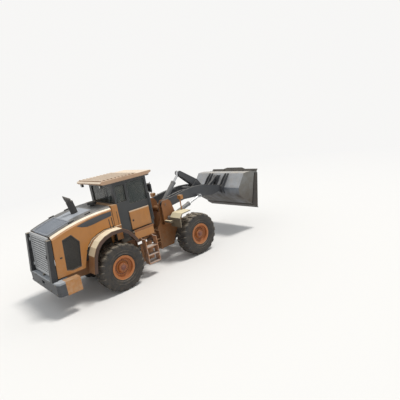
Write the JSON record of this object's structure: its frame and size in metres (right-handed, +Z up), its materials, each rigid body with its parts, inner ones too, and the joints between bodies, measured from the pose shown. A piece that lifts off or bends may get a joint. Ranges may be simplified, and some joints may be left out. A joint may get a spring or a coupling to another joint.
{
  "type": "wheel loader",
  "caption": "Articulated wheel loader with a cab, a Z-bar lift linkage and a general purpose bucket, for digging and loading loose material.",
  "frame": {"origin": "on the ground, in the middle of the machine's overall length and width as it stands", "axes": "+X forward to the bucket, +Y to the machine's left, +Z up"},
  "size_m": [8.7825, 2.74, 3.4],
  "materials": {
    "orange_paint": "satin",
    "rim_paint": "satin",
    "dark_paint": "satin",
    "counterweight_paint": "matte",
    "cab_paint": "satin",
    "roof_paint": "matte",
    "guard_paint": "matte",
    "tyre_rubber": "matte",
    "skirt_rubber": "matte",
    "bucket_steel": "worn",
    "edge_steel": "worn",
    "cylinder_paint": "satin",
    "rod_chrome": "polished",
    "grille_paint": "satin",
    "mesh_paint": "matte",
    "engine_iron": "matte",
    "stack_steel": "matte",
    "lamp_plastic": "gloss",
    "head_lamp": "gloss",
    "cab_glass": "clear",
    "seat_fabric": "woven",
    "console_plastic": "textured"
  },
  "bodies": {
    "rear_frame": {"rear_frame": "orange_paint", "rear_axle": "dark_paint", "counterweight": "counterweight_paint", "tool_boxes": "orange_paint", "engine_block": "engine_iron", "hood_top": "dark_paint", "hood_frame": "orange_paint", "rear_lamps": "lamp_plastic", "hood_stacks": "stack_steel", "hydraulic_tank": "orange_paint", "rear_fenders": "orange_paint", "fender_skirts": "skirt_rubber", "cab_platform": "dark_paint", "cab_frame": "cab_paint", "cab_windows": "cab_glass", "cab_panels": "orange_paint", "cab_roof": "roof_paint", "operator_seat": "seat_fabric", "steering_console": "console_plastic", "access_steps": "orange_paint", "handrails": "dark_paint"},
    "front_frame": {"front_frame": "orange_paint", "front_axle": "dark_paint", "front_fenders": "guard_paint", "front_lamps": "head_lamp"},
    "wheel_rear_left": {"tyre_rear_left": "tyre_rubber", "rim_rear_left": "rim_paint"},
    "wheel_rear_right": {"tyre_rear_right": "tyre_rubber", "rim_rear_right": "rim_paint"},
    "wheel_front_left": {"tyre_front_left": "tyre_rubber", "rim_front_left": "rim_paint"},
    "wheel_front_right": {"tyre_front_right": "tyre_rubber", "rim_front_right": "rim_paint"},
    "boom": {"boom": "dark_paint"},
    "bell_crank": {"bell_crank": "dark_paint"},
    "bucket_link": {"bucket_link": "dark_paint"},
    "bucket": {"bucket_shell": "bucket_steel", "bucket_ears": "dark_paint", "cutting_edges": "edge_steel", "spill_guard": "dark_paint"},
    "tilt_barrel": {"tilt_barrel": "cylinder_paint"},
    "tilt_rod": {"tilt_rod": "rod_chrome"},
    "lift_barrel_left": {"lift_barrel_left": "cylinder_paint"},
    "lift_rod_left": {"lift_rod_left": "rod_chrome"},
    "steer_barrel_left": {"steer_barrel_left": "cylinder_paint"},
    "steer_rod_left": {"steer_rod_left": "rod_chrome"},
    "lift_barrel_right": {"lift_barrel_right": "cylinder_paint"},
    "lift_rod_right": {"lift_rod_right": "rod_chrome"},
    "steer_barrel_right": {"steer_barrel_right": "cylinder_paint"},
    "steer_rod_right": {"steer_rod_right": "rod_chrome"},
    "engine_door_left": {"engine_door_left": "orange_paint", "door_mesh_left": "mesh_paint"},
    "engine_door_right": {"engine_door_right": "orange_paint", "door_mesh_right": "mesh_paint"},
    "rear_grille": {"rear_grille": "grille_paint"},
    "cab_door": {"cab_door": "cab_paint", "cab_door_glass": "cab_glass"}
  },
  "joints": [
    {"name": "steer", "type": "hinge", "parent": "rear_frame", "child": "front_frame", "pos_m": [-0.78, 0, 0.81], "axis": [0, 0, 1], "range_deg": [-40, 40]},
    {"name": "wheel_spin_rear_left", "type": "hinge", "parent": "rear_frame", "child": "wheel_rear_left", "pos_m": [-2.37, 1.025, 0.7465], "axis": [0, 1, 0], "continuous": true},
    {"name": "wheel_spin_rear_right", "type": "hinge", "parent": "rear_frame", "child": "wheel_rear_right", "pos_m": [-2.37, -1.025, 0.7465], "axis": [0, 1, 0], "continuous": true},
    {"name": "wheel_spin_front_left", "type": "hinge", "parent": "front_frame", "child": "wheel_front_left", "pos_m": [0.81, 1.025, 0.7465], "axis": [0, 1, 0], "continuous": true},
    {"name": "wheel_spin_front_right", "type": "hinge", "parent": "front_frame", "child": "wheel_front_right", "pos_m": [0.81, -1.025, 0.7465], "axis": [0, 1, 0], "continuous": true},
    {"name": "boom_lift", "type": "hinge", "parent": "front_frame", "child": "boom", "pos_m": [0.02, 0, 2.02], "axis": [0, -1, 0], "range_deg": [-34, 43]},
    {"name": "bucket_tilt", "type": "hinge", "parent": "boom", "child": "bucket", "pos_m": [2.94, 0, 1.92], "axis": [0, 1, 0], "range_deg": [-70, 40]},
    {"name": "crank_swing", "type": "hinge", "parent": "boom", "child": "bell_crank", "pos_m": [1.97, 0, 2.32], "axis": [0, -1, 0], "range_deg": [-28.5, 16.5]},
    {"name": "link_swing", "type": "hinge", "parent": "bell_crank", "child": "bucket_link", "pos_m": [2.4, 0, 1.85], "axis": [0, 1, 0], "range_deg": [-54.5, 31.5]},
    {"name": "tilt_cylinder_swing", "type": "hinge", "parent": "front_frame", "child": "tilt_barrel", "pos_m": [0.3, 0, 1.93], "axis": [0, -1, 0], "range_deg": [-37.5, 47]},
    {"name": "tilt_rod_slide", "type": "slide", "parent": "tilt_barrel", "child": "tilt_rod", "axis": [0.7181, 0, 0.6959], "range_m": [-0.25, 0.435]},
    {"name": "lift_cylinder_swing_left", "type": "hinge", "parent": "front_frame", "child": "lift_barrel_left", "pos_m": [0.06, 0.64, 1.52], "axis": [0, -1, 0], "range_deg": [-32, 40.5]},
    {"name": "lift_rod_slide_left", "type": "slide", "parent": "lift_barrel_left", "child": "lift_rod_left", "axis": [0.9651, 0, 0.262], "range_m": [-0.28, 0.352]},
    {"name": "lift_cylinder_swing_right", "type": "hinge", "parent": "front_frame", "child": "lift_barrel_right", "pos_m": [0.06, -0.64, 1.52], "axis": [0, -1, 0], "range_deg": [-32, 40.5]},
    {"name": "lift_rod_slide_right", "type": "slide", "parent": "lift_barrel_right", "child": "lift_rod_right", "axis": [0.9651, 0, 0.262], "range_m": [-0.28, 0.352]},
    {"name": "steer_cylinder_swing_left", "type": "hinge", "parent": "rear_frame", "child": "steer_barrel_left", "pos_m": [-1.74, 0.4, 0.81], "axis": [0, 0, 1], "range_deg": [-8, 8]},
    {"name": "steer_rod_slide_left", "type": "slide", "parent": "steer_barrel_left", "child": "steer_rod_left", "axis": [1, 0, 0], "range_m": [-0.275, 0.275]},
    {"name": "steer_cylinder_swing_right", "type": "hinge", "parent": "rear_frame", "child": "steer_barrel_right", "pos_m": [-1.74, -0.4, 0.81], "axis": [0, 0, 1], "range_deg": [-8, 8]},
    {"name": "steer_rod_slide_right", "type": "slide", "parent": "steer_barrel_right", "child": "steer_rod_right", "axis": [1, 0, 0], "range_m": [-0.275, 0.275]},
    {"name": "engine_door_hinge_left", "type": "hinge", "parent": "rear_frame", "child": "engine_door_left", "pos_m": [-4.11, 0.787, 2.368], "axis": [0.9844, 0, 0.1761], "range_deg": [0, 70]},
    {"name": "engine_door_hinge_right", "type": "hinge", "parent": "rear_frame", "child": "engine_door_right", "pos_m": [-4.11, -0.787, 2.368], "axis": [-0.9844, 0, -0.1761], "range_deg": [0, 70]},
    {"name": "rear_grille_hinge", "type": "hinge", "parent": "rear_frame", "child": "rear_grille", "pos_m": [-4.278, 0.77, 1.08], "axis": [-0.0757, 0, -0.9971], "range_deg": [0, 90]},
    {"name": "cab_door_hinge", "type": "hinge", "parent": "rear_frame", "child": "cab_door", "pos_m": [-1.486, 0.815, 1.6], "axis": [0, 0, 1], "range_deg": [0, 85]}
  ],
  "couplings": [
    {"joint": "crank_swing", "follows": "bucket_tilt", "ratio": 0.401},
    {"joint": "link_swing", "follows": "bucket_tilt", "ratio": 0.7702},
    {"joint": "tilt_rod_slide", "follows": "bucket_tilt", "m_per_rad": -0.3524},
    {"joint": "tilt_cylinder_swing", "follows": "boom_lift", "ratio": 1.077},
    {"joint": "lift_cylinder_swing_left", "follows": "boom_lift", "ratio": 0.9239},
    {"joint": "lift_rod_slide_left", "follows": "boom_lift", "m_per_rad": 0.4635},
    {"joint": "steer_cylinder_swing_left", "follows": "steer", "ratio": 0.1911},
    {"joint": "steer_rod_slide_left", "follows": "steer", "m_per_rad": -0.3893},
    {"joint": "lift_cylinder_swing_right", "follows": "boom_lift", "ratio": 0.9239},
    {"joint": "lift_rod_slide_right", "follows": "boom_lift", "m_per_rad": 0.4635},
    {"joint": "steer_cylinder_swing_right", "follows": "steer", "ratio": 0.1911},
    {"joint": "steer_rod_slide_right", "follows": "steer", "m_per_rad": 0.3893}
  ]
}
